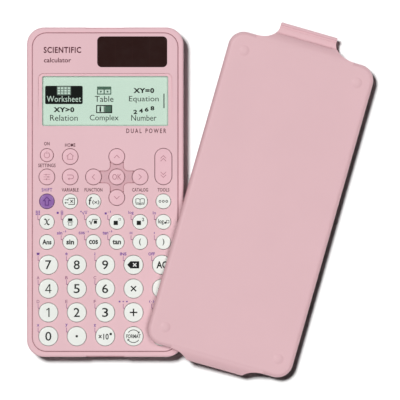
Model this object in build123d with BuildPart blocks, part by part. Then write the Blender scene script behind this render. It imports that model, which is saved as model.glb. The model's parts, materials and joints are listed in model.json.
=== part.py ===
from build123d import *
from math import asin, atan2, cos, degrees, hypot, radians, sin, tan
import os

# A pocket scientific calculator with its hard protective cover lying beside it.
# The origin is the centre of the flat back face. +Z points out of the key face,
# +Y towards the display end and +X to the right of someone using it. Millimetres.

# ---------------------------------------------------------------- the case
BODY_WIDTH = 77.0
BODY_LENGTH = 162.0
BODY_CORNER = 8.5
SPLIT_HEIGHT = 5.2          # parting line between the two housings
FACE_HEIGHT = 9.7           # raised key face
RIM_STEP = 0.8              # drop to the ledge round the key face, on which the cover sits
RIM_WIDTH = 2.8
RIM_GROOVE_WIDTH = 0.35     # shadow groove at the foot of the raised face
RIM_GROOVE_DEPTH = 0.35
FACE_CORNER = 6.8
FACE_WALL = 1.6
SIDE_WALL = 1.6
REAR_WALL = 1.4
BACK_EDGE_ROUND = 1.2
RIM_EDGE_ROUND = 1.0
FACE_EDGE_ROUND = 0.5
TONGUE_WIDTH = 0.7          # lip of the rear housing that nests inside the front one
TONGUE_HEIGHT = 1.0
SEAM_CLEARANCE = 0.1

# ---------------------------------------------------------------- board and key mat
BOARD_BOTTOM = 3.6
BOARD_THICKNESS = 1.0
BOARD_MARGIN = 1.6          # gap between the board's edge and the side walls
MAT_BASE = 0.8
MAT_WIDTH = 69.4
MAT_TOP_Y = 23.2            # the mat lies between these two
MAT_FOOT_Y = -74.3
DOME_CRUSHED = 0.25         # what is left of a dome's rise when its key is down
DOME_TOP_RADIUS = 1.7
DOME_BASE_RADIUS = 2.9
DOME_WALL = 0.45
REST_GAP = 0.05             # between parts that touch in use but move apart

# ---------------------------------------------------------------- keys
NARROW_PITCH = 11.45        # six columns of the upper keys
WIDE_PITCH = 13.95          # five columns of the number keys
UPPER_ROW_Y = 17.5
ON_KEY_Y = 18.2
CONTROL_ROW_Y = 7.5
DOWN_KEY_Y = -2.65
SHIFT_ROW_Y = -4.5
FIRST_WHITE_ROW_Y = -14.6
SECOND_WHITE_ROW_Y = -24.5
NUMBER_ROW_Y = -35.7        # the row with 7, 8 and 9
NUMBER_ROW_PITCH = 11.7
LARGE_KEY = 9.35            # cap diameters
SMALL_KEY = 7.2
CONTROL_KEY = 7.7
ON_KEY = 6.4
KEY_PROUD = 1.0             # how far the caps stand above the face
CONTROL_KEY_PROUD = 0.6
KEY_CLEARANCE = 0.25
FLANGE_LIP = 0.55
FLANGE_THICKNESS = 0.8
KEY_STEM_RADIUS = 1.4
KEY_EDGE_ROUND = 0.45
KEY_CROWN = 0.15            # rise of the cap's top towards its middle
KEY_TRAVEL = 0.9
ROCKER_LENGTH = 17.8
ROCKER_WIDTH = 8.3
ROCKER_X = 2.5 * NARROW_PITCH
ROCKER_Y = 12.6
ROCKER_TILT = 4.0           # degrees each way
ROCKER_PIVOT_RADIUS = 0.45
DITCH_DEPTH = 0.8           # cross-shaped recess round the arrow keys
DITCH_BAR = 6.2
DITCH_COLUMN = 6.8
DITCH_CORNER = 2.2

# ---------------------------------------------------------------- display
WINDOW_WIDTH = 61.8
WINDOW_LENGTH = 24.4
DISPLAY_Y = 44.8
RECESS_WIDTH = 65.9
RECESS_TOP_Y = 58.4         # the recess is deepest here
RECESS_FOOT_Y = 28.0        # and runs out into the face here
RECESS_DEPTH = 1.0
RECESS_CORNER = 2.5
WINDOW_CORNER = 0.9
WINDOW_SUNK = 0.15          # below the recess floor
WINDOW_WALL = 0.9           # wall left under the recess floor
WINDOW_FLANGE = 0.8
FLANGE_OVERLAP = 1.5
LCD_THICKNESS = 1.5
FRAME_WALL = 1.2            # walls that locate the window and the LCD
FIT = 0.1                   # clearance round parts laid into a seat
CONNECTOR_WIDTH = 2.0

# ---------------------------------------------------------------- solar panel
SOLAR_WIDTH = 34.2
SOLAR_LENGTH = 14.95
SOLAR_X = 13.3
SOLAR_Y = 69.0
SOLAR_CORNER = 2.2
SOLAR_FLANGE = 0.8
SOLAR_OVERLAP = 0.9
SOLAR_SUNK = 0.1
SOLAR_CELL = 0.9
LEAD_WIDTH = 1.6
LEAD_THICKNESS = 0.3

# ---------------------------------------------------------------- battery compartment
CELL_DIAMETER = 11.6
CELL_HEIGHT = 5.4
CELL_CHAMFER = 0.4
BATTERY_X = -18.0
BATTERY_Y = 67.5
BATTERY_BOTTOM = 1.35
TUBE_CLEARANCE = 0.45
TUBE_WALL = 0.8
TUBE_ROOF = 0.7
CONTACT_THICKNESS = 0.2
CONTACT_WIDTH = 4.0
DOOR_WIDTH = 23.4
DOOR_LENGTH = 13.4
DOOR_CORNER = 3.0
DOOR_X = -21.5
DOOR_THICKNESS = 0.9
DOOR_SUNK = 0.15
DOOR_SEAT = 1.1
DOOR_PAD = 1.2              # the rear wall is this much thicker round the door
DOOR_BOSS_FLOOR = 0.5       # under the head of the door's screw

# ---------------------------------------------------------------- screws
SCREW_DIAMETER = 2.0
SCREW_HEAD = 3.6
SCREW_HEAD_HEIGHT = 1.1
SCREW_HEAD_SUNK = 0.35
SCREW_LENGTH = 6.4          # below the head
SCREW_CLEARANCE = 0.15
BOSS_WALL = 1.1
CROSS_SIZE = 1.9
CROSS_SLOT = 0.45
CROSS_DEPTH = 0.6
SCREW_TOP = (33.8, 75.6)    # left and right of the centre line
SCREW_MIDDLE = (33.5, 25.6)
SCREW_BOTTOM = (21.0, -76.6)
DOOR_SCREW = (-30.2, 67.5)

# ---------------------------------------------------------------- clip notches in the end faces
NOTCH_WIDTH = 19.0
NOTCH_DEPTH = 0.6
CATCH_DEPTH = 0.9
CATCH_BOTTOM = 3.0
CATCH_TOP = 4.6

# ---------------------------------------------------------------- protective cover
COVER_WALL = 1.15
COVER_ROOF = 1.2
COVER_SIDE_GAP = 0.2        # between the tray's walls and the raised face
COVER_END_GAP = 0.4
COVER_RIM_GAP = 0.05        # above the ledge when it is closed
COVER_KEY_GAP = 0.4         # above the keys when it is closed
COVER_CORNER = 7.8
COVER_EDGE_ROUND = 2.3
TAB_WIDTH = 28.8            # the upper tab, with the finger lip
LOWER_TAB_WIDTH = 26.0
TAB_EAR_WIDTH = 10.5        # the hollow sweep from the tray's end into a tab
TAB_EAR_LENGTH = 7.0
TAB_WALL = 2.2
TAB_GAP = 0.2
TAB_FOOT = 2.4              # height of the tabs' lower edge when closed
TAB_CORNER = 1.2
TAB_SUNK = 0.12             # a tab's skin starts this far under the roof
LIP_REACH = 6.1             # finger lip past the upper tab's wall
LIP_HEIGHT = 7.4
LIP_THICKNESS = 1.2
LIP_CREASE = 3.3            # the crease runs this far out from the wall
LIP_CREASE_DEPTH = 0.3
LIP_BEAD = 0.5
HOOK_WIDTH = 18.0
HOOK_GAP = 0.2
HOOK_REACH = 0.7
HOOK_BOTTOM = 3.2
HOOK_TOP = 4.4
BUMP_X = 29.0
BUMP_Y = 70.6
BUMP_RADIUS = 2.6
BUMP_RISE = 0.5
COVER_YAW = 15.9            # turned clockwise as it lies beside the calculator
COVER_BESIDE = 1.9          # its lower tab lies this far right of the case's corner
COVER_BELOW = 1.6           # and this far below it
COVER_LANDING = 27.0        # where its lower end wall passes over the corner key
COVER_LYING_GAP = 0.15

# ---------------------------------------------------------------- worked-out heights and sizes
RIM_HEIGHT = FACE_HEIGHT - RIM_STEP
KEY_TOP = FACE_HEIGHT + KEY_PROUD
CONTROL_KEY_TOP = FACE_HEIGHT + CONTROL_KEY_PROUD
DOME_HEIGHT = KEY_TRAVEL + DOME_CRUSHED
MAT_BOTTOM = BOARD_BOTTOM + BOARD_THICKNESS
MAT_TOP = MAT_BOTTOM + MAT_BASE
DOME_TOP = MAT_TOP + DOME_HEIGHT
STEM_FOOT = DOME_TOP + REST_GAP
FACE_UNDERSIDE = FACE_HEIGHT - FACE_WALL
FLANGE_TOP = FACE_UNDERSIDE - 2 * REST_GAP
FACE_WIDTH = BODY_WIDTH - 2 * RIM_WIDTH
FACE_LENGTH = BODY_LENGTH - 2 * RIM_WIDTH
INNER_WIDTH = BODY_WIDTH - 2 * SIDE_WALL
INNER_LENGTH = BODY_LENGTH - 2 * SIDE_WALL
INNER_CORNER = BODY_CORNER - SIDE_WALL
BOARD_WIDTH = INNER_WIDTH - 2 * BOARD_MARGIN
BOARD_LENGTH = INNER_LENGTH - 2 * BOARD_MARGIN
RECESS_ANGLE = degrees(atan2(RECESS_DEPTH, RECESS_TOP_Y - RECESS_FOOT_Y))
TUBE_RADIUS = CELL_DIAMETER / 2 + TUBE_CLEARANCE
TUBE_TOP = BATTERY_BOTTOM + CELL_HEIGHT + CONTACT_THICKNESS + REST_GAP
SCREW_UNDER_HEAD = SCREW_HEAD_SUNK + SCREW_HEAD_HEIGHT
BOSS_RADIUS = SCREW_DIAMETER / 2 + BOSS_WALL
COVER_RIM = RIM_HEIGHT + COVER_RIM_GAP
COVER_INSIDE = KEY_TOP + COVER_KEY_GAP
COVER_TOP = COVER_INSIDE + COVER_ROOF
COVER_INNER_WIDTH = FACE_WIDTH + 2 * COVER_SIDE_GAP
COVER_INNER_LENGTH = FACE_LENGTH + 2 * COVER_END_GAP
COVER_WIDTH = COVER_INNER_WIDTH + 2 * COVER_WALL
COVER_LENGTH = COVER_INNER_LENGTH + 2 * COVER_WALL
TAB_INSIDE = BODY_LENGTH / 2 + TAB_GAP
TAB_OUTSIDE = TAB_INSIDE + TAB_WALL
DOOR_BOSS_RADIUS = SCREW_HEAD / 2 + BOSS_WALL
DOOR_BOSS_TOP = SCREW_UNDER_HEAD + DOOR_BOSS_FLOOR
SCREW_SPOTS = [
    (side * spot[0], spot[1])
    for spot in (SCREW_TOP, SCREW_MIDDLE, SCREW_BOTTOM)
    for side in (-1, 1)
]


def recess_floor(depth):
    """The sloping plane of the display recess, sunk by depth along its own normal."""
    slope = radians(RECESS_ANGLE)
    drop = (DISPLAY_Y - RECESS_FOOT_Y) * tan(slope)
    floor = Plane(
        origin=(0, DISPLAY_Y, FACE_HEIGHT - drop),
        x_dir=(1, 0, 0),
        z_dir=(0, sin(slope), cos(slope)),
    )
    return floor.offset(-depth)


os.makedirs("parts", exist_ok=True)


def save(piece, label):
    """Name a finished piece and write it."""
    piece.label = label
    export_step(piece, f"parts/{label}.step")


# ---------------------------------------------------------------- where the keys are
def narrow_x(column):
    """Centre of one of the six narrow columns, 0 on the left."""
    return (column - 2.5) * NARROW_PITCH


def wide_x(column):
    """Centre of one of the five wide columns, 0 on the left."""
    return (column - 2) * WIDE_PITCH


def key_row(names, column_x, first_column, y, diameter, top):
    """Keys of one size side by side: name, place, diameter and height of the cap."""
    return [
        (name, column_x(first_column + step), y, diameter, top)
        for step, name in enumerate(names)
    ]


ROUND_KEYS = (
    key_row(["key_on"], narrow_x, 0, ON_KEY_Y, ON_KEY, CONTROL_KEY_TOP)
    + key_row(["key_home"], narrow_x, 1, UPPER_ROW_Y, CONTROL_KEY, CONTROL_KEY_TOP)
    + key_row(["key_up"], narrow_x, 3, UPPER_ROW_Y, CONTROL_KEY, CONTROL_KEY_TOP)
    + key_row(
        ["key_settings", "key_back", "key_left", "key_ok", "key_right"],
        narrow_x, 0, CONTROL_ROW_Y, CONTROL_KEY, CONTROL_KEY_TOP,
    )
    + key_row(["key_down"], narrow_x, 3, DOWN_KEY_Y, CONTROL_KEY, CONTROL_KEY_TOP)
    + key_row(
        ["key_shift", "key_variable", "key_function"],
        narrow_x, 0, SHIFT_ROW_Y, SMALL_KEY, KEY_TOP,
    )
    + key_row(["key_catalog", "key_tools"], narrow_x, 4, SHIFT_ROW_Y, SMALL_KEY, KEY_TOP)
    + key_row(
        ["key_x", "key_fraction", "key_root", "key_power", "key_square", "key_log"],
        narrow_x, 0, FIRST_WHITE_ROW_Y, SMALL_KEY, KEY_TOP,
    )
    + key_row(
        ["key_ans", "key_sin", "key_cos", "key_tan", "key_open_bracket", "key_close_bracket"],
        narrow_x, 0, SECOND_WHITE_ROW_Y, SMALL_KEY, KEY_TOP,
    )
    + key_row(
        ["key_7", "key_8", "key_9", "key_delete", "key_clear"],
        wide_x, 0, NUMBER_ROW_Y, LARGE_KEY, KEY_TOP,
    )
    + key_row(
        ["key_4", "key_5", "key_6", "key_multiply", "key_divide"],
        wide_x, 0, NUMBER_ROW_Y - NUMBER_ROW_PITCH, LARGE_KEY, KEY_TOP,
    )
    + key_row(
        ["key_1", "key_2", "key_3", "key_plus", "key_minus"],
        wide_x, 0, NUMBER_ROW_Y - 2 * NUMBER_ROW_PITCH, LARGE_KEY, KEY_TOP,
    )
    + key_row(
        ["key_0", "key_point", "key_exponent", "key_format", "key_enter"],
        wide_x, 0, NUMBER_ROW_Y - 3 * NUMBER_ROW_PITCH, LARGE_KEY, KEY_TOP,
    )
)
KEY_PLACES = [(x, y) for _, x, y, _, _ in ROUND_KEYS]
ROCKER_DOMES = [
    (ROCKER_X, ROCKER_Y + side * (ROCKER_LENGTH - ROCKER_WIDTH) / 2) for side in (-1, 1)
]


# ---------------------------------------------------------------- front housing
def ditch_outline():
    """The cross through the arrow keys: a bar from left to right, a column from up to down."""
    with BuildSketch() as cross:
        with Locations((narrow_x(3), CONTROL_ROW_Y)):
            Rectangle(2 * NARROW_PITCH, DITCH_BAR)
        with Locations((narrow_x(3), (UPPER_ROW_Y + DOWN_KEY_Y) / 2)):
            Rectangle(DITCH_COLUMN, UPPER_ROW_Y - DOWN_KEY_Y)
        near_centre = cross.vertices().sort_by(
            lambda corner: hypot(corner.X - narrow_x(3), corner.Y - CONTROL_ROW_Y)
        )
        fillet(near_centre[:4], DITCH_CORNER)
    return cross.sketch


with BuildPart() as front_housing:
    with BuildSketch(Plane.XY.offset(SPLIT_HEIGHT)):
        RectangleRounded(BODY_WIDTH, BODY_LENGTH, BODY_CORNER)
    extrude(amount=RIM_HEIGHT - SPLIT_HEIGHT)
    fillet(front_housing.faces().sort_by(Axis.Z)[-1].edges(), RIM_EDGE_ROUND)
    with BuildSketch(Plane.XY.offset(RIM_HEIGHT)):
        RectangleRounded(FACE_WIDTH, FACE_LENGTH, FACE_CORNER)
    extrude(amount=FACE_HEIGHT - RIM_HEIGHT)
    fillet(front_housing.faces().sort_by(Axis.Z)[-1].edges(), FACE_EDGE_ROUND)
    with BuildSketch(Plane.XY.offset(RIM_HEIGHT)):
        RectangleRounded(
            FACE_WIDTH + 2 * RIM_GROOVE_WIDTH,
            FACE_LENGTH + 2 * RIM_GROOVE_WIDTH,
            FACE_CORNER + RIM_GROOVE_WIDTH,
        )
        RectangleRounded(FACE_WIDTH, FACE_LENGTH, FACE_CORNER, mode=Mode.SUBTRACT)
    extrude(amount=-RIM_GROOVE_DEPTH, mode=Mode.SUBTRACT)
    # hollow inside
    with BuildSketch(Plane.XY.offset(SPLIT_HEIGHT)):
        RectangleRounded(INNER_WIDTH, INNER_LENGTH, INNER_CORNER)
    extrude(amount=FACE_UNDERSIDE - SPLIT_HEIGHT, mode=Mode.SUBTRACT)
    # walls that hold the display window and the LCD, along the slope of the recess
    with BuildSketch(recess_floor(WINDOW_WALL / 2)):
        RectangleRounded(
            WINDOW_WIDTH + 2 * (FLANGE_OVERLAP + FRAME_WALL),
            WINDOW_LENGTH + 2 * (FLANGE_OVERLAP + FRAME_WALL),
            FRAME_WALL,
        )
    extrude(amount=-(WINDOW_WALL / 2 + WINDOW_FLANGE + REST_GAP + LCD_THICKNESS))
    # bosses for the screws
    with BuildSketch(Plane.XY.offset(MAT_BOTTOM + SEAM_CLEARANCE)):
        with Locations(*SCREW_SPOTS, DOOR_SCREW):
            Circle(BOSS_RADIUS)
    extrude(amount=FACE_UNDERSIDE - MAT_BOTTOM - SEAM_CLEARANCE)
    with BuildSketch(Plane.XY.offset(MAT_BOTTOM)):
        with Locations(*SCREW_SPOTS, DOOR_SCREW):
            Circle(SCREW_DIAMETER / 2)
    extrude(amount=SCREW_UNDER_HEAD + SCREW_LENGTH + SCREW_CLEARANCE - MAT_BOTTOM, mode=Mode.SUBTRACT)
    # sloping recess round the display
    with BuildSketch(recess_floor(0)):
        with Locations((0, RECESS_TOP_Y - DISPLAY_Y - WINDOW_LENGTH)):
            RectangleRounded(RECESS_WIDTH, 2 * WINDOW_LENGTH, RECESS_CORNER)
    extrude(amount=2 * RECESS_DEPTH, mode=Mode.SUBTRACT)
    # window opening, and the pocket for the window's flange and the LCD
    with BuildSketch(recess_floor(0)):
        RectangleRounded(WINDOW_WIDTH + 2 * FIT, WINDOW_LENGTH + 2 * FIT, WINDOW_CORNER)
    extrude(amount=-2 * WINDOW_WALL, mode=Mode.SUBTRACT)
    with BuildSketch(recess_floor(WINDOW_WALL)):
        Rectangle(
            WINDOW_WIDTH + 2 * (FLANGE_OVERLAP + FIT),
            WINDOW_LENGTH + 2 * (FLANGE_OVERLAP + FIT),
        )
    extrude(amount=-2 * (WINDOW_FLANGE + LCD_THICKNESS), mode=Mode.SUBTRACT)
    # solar window opening
    with BuildSketch(Plane.XY.offset(FACE_UNDERSIDE)):
        with Locations((SOLAR_X, SOLAR_Y)):
            RectangleRounded(SOLAR_WIDTH + 2 * FIT, SOLAR_LENGTH + 2 * FIT, SOLAR_CORNER)
    extrude(amount=FACE_WALL, mode=Mode.SUBTRACT)
    # ditch round the arrow keys, then the key holes
    with BuildSketch(Plane.XY.offset(FACE_HEIGHT - DITCH_DEPTH)):
        add(ditch_outline())
    extrude(amount=DITCH_DEPTH, mode=Mode.SUBTRACT)
    for cap in {diameter for _, _, _, diameter, _ in ROUND_KEYS}:
        with BuildSketch(Plane.XY.offset(FACE_UNDERSIDE)):
            with Locations(*[(x, y) for _, x, y, diameter, _ in ROUND_KEYS if diameter == cap]):
                Circle(cap / 2 + KEY_CLEARANCE)
        extrude(amount=FACE_WALL, mode=Mode.SUBTRACT)
    with BuildSketch(Plane.XY.offset(FACE_UNDERSIDE)):
        with Locations((ROCKER_X, ROCKER_Y)):
            SlotOverall(ROCKER_LENGTH + 2 * KEY_CLEARANCE, ROCKER_WIDTH + 2 * KEY_CLEARANCE, rotation=90)
    extrude(amount=FACE_WALL, mode=Mode.SUBTRACT)
    # notches for the cover's tabs in both end faces
    with BuildSketch(Plane.XY.offset(SPLIT_HEIGHT)):
        with Locations((0, BODY_LENGTH / 2), (0, -BODY_LENGTH / 2)):
            Rectangle(NOTCH_WIDTH, 2 * NOTCH_DEPTH)
    extrude(amount=RIM_HEIGHT - SPLIT_HEIGHT, mode=Mode.SUBTRACT)


# ---------------------------------------------------------------- rear housing
def battery_tube_outline(margin):
    """Round compartment with a flat-sided bay for the side contact, grown by margin all round."""
    with BuildSketch() as outline:
        Circle(TUBE_RADIUS + margin)
        Rectangle(
            TUBE_RADIUS + CONTACT_THICKNESS + margin,
            CONTACT_WIDTH + 2 * (FIT + margin),
            align=(Align.MIN, Align.CENTER),
        )
    return outline.sketch


with BuildPart() as rear_housing:
    with BuildSketch():
        RectangleRounded(BODY_WIDTH, BODY_LENGTH, BODY_CORNER)
    extrude(amount=SPLIT_HEIGHT)
    fillet(rear_housing.faces().sort_by(Axis.Z)[0].edges(), BACK_EDGE_ROUND)
    with BuildSketch(Plane.XY.offset(REAR_WALL)):
        RectangleRounded(INNER_WIDTH, INNER_LENGTH, INNER_CORNER)
    extrude(amount=SPLIT_HEIGHT, mode=Mode.SUBTRACT)
    # tongue that nests inside the front housing's wall
    with BuildSketch(Plane.XY.offset(SPLIT_HEIGHT - TONGUE_HEIGHT)):
        RectangleRounded(INNER_WIDTH, INNER_LENGTH, INNER_CORNER)
        RectangleRounded(
            INNER_WIDTH - 2 * TONGUE_WIDTH,
            INNER_LENGTH - 2 * TONGUE_WIDTH,
            INNER_CORNER - TONGUE_WIDTH,
            mode=Mode.SUBTRACT,
        )
    extrude(amount=TONGUE_HEIGHT)
    with BuildSketch(Plane.XY.offset(SPLIT_HEIGHT)):
        RectangleRounded(
            INNER_WIDTH - 2 * SEAM_CLEARANCE,
            INNER_LENGTH - 2 * SEAM_CLEARANCE,
            INNER_CORNER - SEAM_CLEARANCE,
        )
        RectangleRounded(
            INNER_WIDTH - 2 * TONGUE_WIDTH,
            INNER_LENGTH - 2 * TONGUE_WIDTH,
            INNER_CORNER - TONGUE_WIDTH,
            mode=Mode.SUBTRACT,
        )
    extrude(amount=TONGUE_HEIGHT)
    # room for the front housing's bosses
    with BuildSketch(Plane.XY.offset(MAT_BOTTOM)):
        with Locations(*SCREW_SPOTS):
            Circle(BOSS_RADIUS + 2 * SEAM_CLEARANCE)
    extrude(amount=SPLIT_HEIGHT + TONGUE_HEIGHT - MAT_BOTTOM, mode=Mode.SUBTRACT)
    # posts under the board, round each screw
    with BuildSketch(Plane.XY.offset(REAR_WALL)):
        with Locations(*SCREW_SPOTS, DOOR_SCREW):
            Circle(SCREW_HEAD / 2 + BOSS_WALL)
    extrude(amount=BOARD_BOTTOM - REAR_WALL)
    # thicker wall round the battery door, and the battery's tube
    with BuildSketch(Plane.XY.offset(REAR_WALL)):
        with Locations((DOOR_X, BATTERY_Y)):
            RectangleRounded(DOOR_WIDTH + 2 * BOSS_WALL, DOOR_LENGTH + 2 * BOSS_WALL, DOOR_CORNER)
    extrude(amount=DOOR_PAD)
    with BuildSketch(Plane.XY.offset(REAR_WALL)):
        with Locations((BATTERY_X, BATTERY_Y)):
            add(battery_tube_outline(TUBE_WALL))
    extrude(amount=TUBE_TOP + TUBE_ROOF - REAR_WALL)
    with BuildSketch():
        with Locations((BATTERY_X, BATTERY_Y)):
            add(battery_tube_outline(0))
    extrude(amount=TUBE_TOP, mode=Mode.SUBTRACT)
    # seat of the battery door
    with BuildSketch():
        with Locations((DOOR_X, BATTERY_Y)):
            RectangleRounded(DOOR_WIDTH + 2 * FIT, DOOR_LENGTH + 2 * FIT, DOOR_CORNER)
    extrude(amount=DOOR_SEAT, mode=Mode.SUBTRACT)
    with BuildSketch():
        with Locations(DOOR_SCREW):
            Circle(DOOR_BOSS_RADIUS + FIT)
    extrude(amount=DOOR_BOSS_TOP + REST_GAP, mode=Mode.SUBTRACT)
    # screw holes with sunk heads
    with BuildSketch():
        with Locations(*SCREW_SPOTS):
            Circle(SCREW_HEAD / 2 + SCREW_CLEARANCE)
    extrude(amount=SCREW_UNDER_HEAD, mode=Mode.SUBTRACT)
    with BuildSketch():
        with Locations(*SCREW_SPOTS, DOOR_SCREW):
            Circle(SCREW_DIAMETER / 2 + SCREW_CLEARANCE)
    extrude(amount=BOARD_BOTTOM, mode=Mode.SUBTRACT)
    # notches and catches for the cover's tabs
    with BuildSketch(Plane.XY.offset(TAB_FOOT)):
        with Locations((0, BODY_LENGTH / 2), (0, -BODY_LENGTH / 2)):
            Rectangle(NOTCH_WIDTH, 2 * NOTCH_DEPTH)
    extrude(amount=SPLIT_HEIGHT - TAB_FOOT, mode=Mode.SUBTRACT)
    with BuildSketch(Plane.XY.offset(CATCH_BOTTOM)):
        with Locations((0, BODY_LENGTH / 2), (0, -BODY_LENGTH / 2)):
            Rectangle(NOTCH_WIDTH, 2 * (NOTCH_DEPTH + CATCH_DEPTH))
    extrude(amount=CATCH_TOP - CATCH_BOTTOM, mode=Mode.SUBTRACT)


# ---------------------------------------------------------------- battery, contacts and door
with BuildPart() as battery_door:
    with BuildSketch(Plane.XY.offset(DOOR_SUNK)):
        with Locations((DOOR_X, BATTERY_Y)):
            RectangleRounded(DOOR_WIDTH, DOOR_LENGTH, DOOR_CORNER)
    extrude(amount=DOOR_THICKNESS)
    with BuildSketch(Plane.XY.offset(DOOR_SUNK)):
        with Locations(DOOR_SCREW):
            Circle(DOOR_BOSS_RADIUS)
    extrude(amount=DOOR_BOSS_TOP - DOOR_SUNK)
    with BuildSketch():
        with Locations(DOOR_SCREW):
            Circle(SCREW_HEAD / 2 + SCREW_CLEARANCE)
    extrude(amount=SCREW_UNDER_HEAD, mode=Mode.SUBTRACT)
    with BuildSketch():
        with Locations(DOOR_SCREW):
            Circle(SCREW_DIAMETER / 2 + SCREW_CLEARANCE)
    extrude(amount=DOOR_BOSS_TOP, mode=Mode.SUBTRACT)

with BuildPart() as battery:
    with BuildSketch(Plane.XY.offset(BATTERY_BOTTOM)):
        with Locations((BATTERY_X, BATTERY_Y)):
            Circle(CELL_DIAMETER / 2)
    extrude(amount=CELL_HEIGHT)
    chamfer(battery.edges().filter_by(GeomType.CIRCLE), CELL_CHAMFER)

with BuildPart() as battery_contacts:
    with BuildSketch(Plane.XY.offset(TUBE_TOP - CONTACT_THICKNESS)):
        with Locations((BATTERY_X, BATTERY_Y)):
            SlotOverall(CELL_DIAMETER - CONTACT_WIDTH / 2, CONTACT_WIDTH)
    extrude(amount=CONTACT_THICKNESS)
    with BuildSketch(Plane.XY.offset(BATTERY_BOTTOM + CELL_CHAMFER)):
        with Locations((BATTERY_X + TUBE_RADIUS, BATTERY_Y)):
            Rectangle(CONTACT_THICKNESS, CONTACT_WIDTH)
    extrude(amount=CELL_HEIGHT - 2 * CELL_CHAMFER)


# ---------------------------------------------------------------- screws
with BuildPart() as case_screws:
    with BuildSketch(Plane.XY.offset(SCREW_HEAD_SUNK)):
        with Locations(*SCREW_SPOTS, DOOR_SCREW):
            Circle(SCREW_HEAD / 2)
    extrude(amount=SCREW_HEAD_HEIGHT)
    chamfer(case_screws.faces().group_by(Axis.Z)[0].edges(), SCREW_HEAD_HEIGHT / 4)
    with BuildSketch(Plane.XY.offset(SCREW_UNDER_HEAD)):
        with Locations(*SCREW_SPOTS, DOOR_SCREW):
            Circle(SCREW_DIAMETER / 2 - FIT)
    extrude(amount=SCREW_LENGTH)
    with BuildSketch(Plane.XY.offset(SCREW_HEAD_SUNK)):
        with Locations(*SCREW_SPOTS, DOOR_SCREW):
            Rectangle(CROSS_SIZE, CROSS_SLOT)
            Rectangle(CROSS_SLOT, CROSS_SIZE)
    extrude(amount=CROSS_DEPTH, mode=Mode.SUBTRACT)


# ---------------------------------------------------------------- display
with BuildPart() as display_window:
    with BuildSketch(recess_floor(WINDOW_SUNK)):
        RectangleRounded(WINDOW_WIDTH, WINDOW_LENGTH, WINDOW_CORNER)
    extrude(amount=-(WINDOW_WALL - WINDOW_SUNK))
    with BuildSketch(recess_floor(WINDOW_WALL)):
        Rectangle(WINDOW_WIDTH + 2 * FLANGE_OVERLAP, WINDOW_LENGTH + 2 * FLANGE_OVERLAP)
    extrude(amount=-WINDOW_FLANGE)

with BuildPart() as lcd_panel:
    with BuildSketch(recess_floor(WINDOW_WALL + WINDOW_FLANGE + REST_GAP)):
        Rectangle(WINDOW_WIDTH + 2 * FLANGE_OVERLAP, WINDOW_LENGTH + 2 * FLANGE_OVERLAP)
    extrude(amount=-LCD_THICKNESS)

LCD_FOOT = lcd_panel.faces().sort_by(Axis.Z)[0].edges().sort_by(Axis.Y)[0].center()

with BuildPart() as lcd_connector:
    with BuildSketch(Plane.XY.offset(MAT_BOTTOM)):
        with Locations((0, LCD_FOOT.Y + CONNECTOR_WIDTH)):
            Rectangle(WINDOW_WIDTH, CONNECTOR_WIDTH)
    extrude(amount=LCD_FOOT.Z - 2 * REST_GAP - MAT_BOTTOM)


# ---------------------------------------------------------------- solar panel: lens, cell and leads
with BuildPart() as solar_panel:
    with BuildSketch(Plane.XY.offset(FACE_UNDERSIDE - SOLAR_FLANGE)):
        with Locations((SOLAR_X, SOLAR_Y)):
            RectangleRounded(
                SOLAR_WIDTH + 2 * SOLAR_OVERLAP,
                SOLAR_LENGTH + 2 * SOLAR_OVERLAP,
                SOLAR_CORNER + SOLAR_OVERLAP,
            )
    extrude(amount=SOLAR_FLANGE)
    with BuildSketch(Plane.XY.offset(FACE_UNDERSIDE)):
        with Locations((SOLAR_X, SOLAR_Y)):
            RectangleRounded(SOLAR_WIDTH, SOLAR_LENGTH, SOLAR_CORNER)
    extrude(amount=FACE_WALL - SOLAR_SUNK)
    with BuildSketch(Plane.XY.offset(FACE_UNDERSIDE - SOLAR_FLANGE - REST_GAP)):
        with Locations((SOLAR_X, SOLAR_Y)):
            RectangleRounded(SOLAR_WIDTH, SOLAR_LENGTH, SOLAR_CORNER)
    extrude(amount=-SOLAR_CELL)
    CELL_UNDERSIDE = FACE_UNDERSIDE - SOLAR_FLANGE - REST_GAP - SOLAR_CELL
    with BuildSketch(Plane.XY.offset(MAT_BOTTOM)):
        with Locations((SOLAR_X, SOLAR_Y)):
            with GridLocations(SOLAR_WIDTH - 2 * SOLAR_CORNER, 0, 2, 1):
                Rectangle(LEAD_THICKNESS, LEAD_WIDTH)
    extrude(amount=CELL_UNDERSIDE - REST_GAP - MAT_BOTTOM)


# ---------------------------------------------------------------- circuit board and key mat
with BuildPart() as circuit_board:
    with BuildSketch(Plane.XY.offset(BOARD_BOTTOM)):
        RectangleRounded(BOARD_WIDTH, BOARD_LENGTH, INNER_CORNER)
        with Locations((BATTERY_X, BATTERY_Y)):
            add(battery_tube_outline(TUBE_WALL + FIT), mode=Mode.SUBTRACT)
        with Locations(*SCREW_SPOTS, DOOR_SCREW):
            Circle(SCREW_DIAMETER / 2 + SCREW_CLEARANCE, mode=Mode.SUBTRACT)
    extrude(amount=BOARD_THICKNESS)

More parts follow.
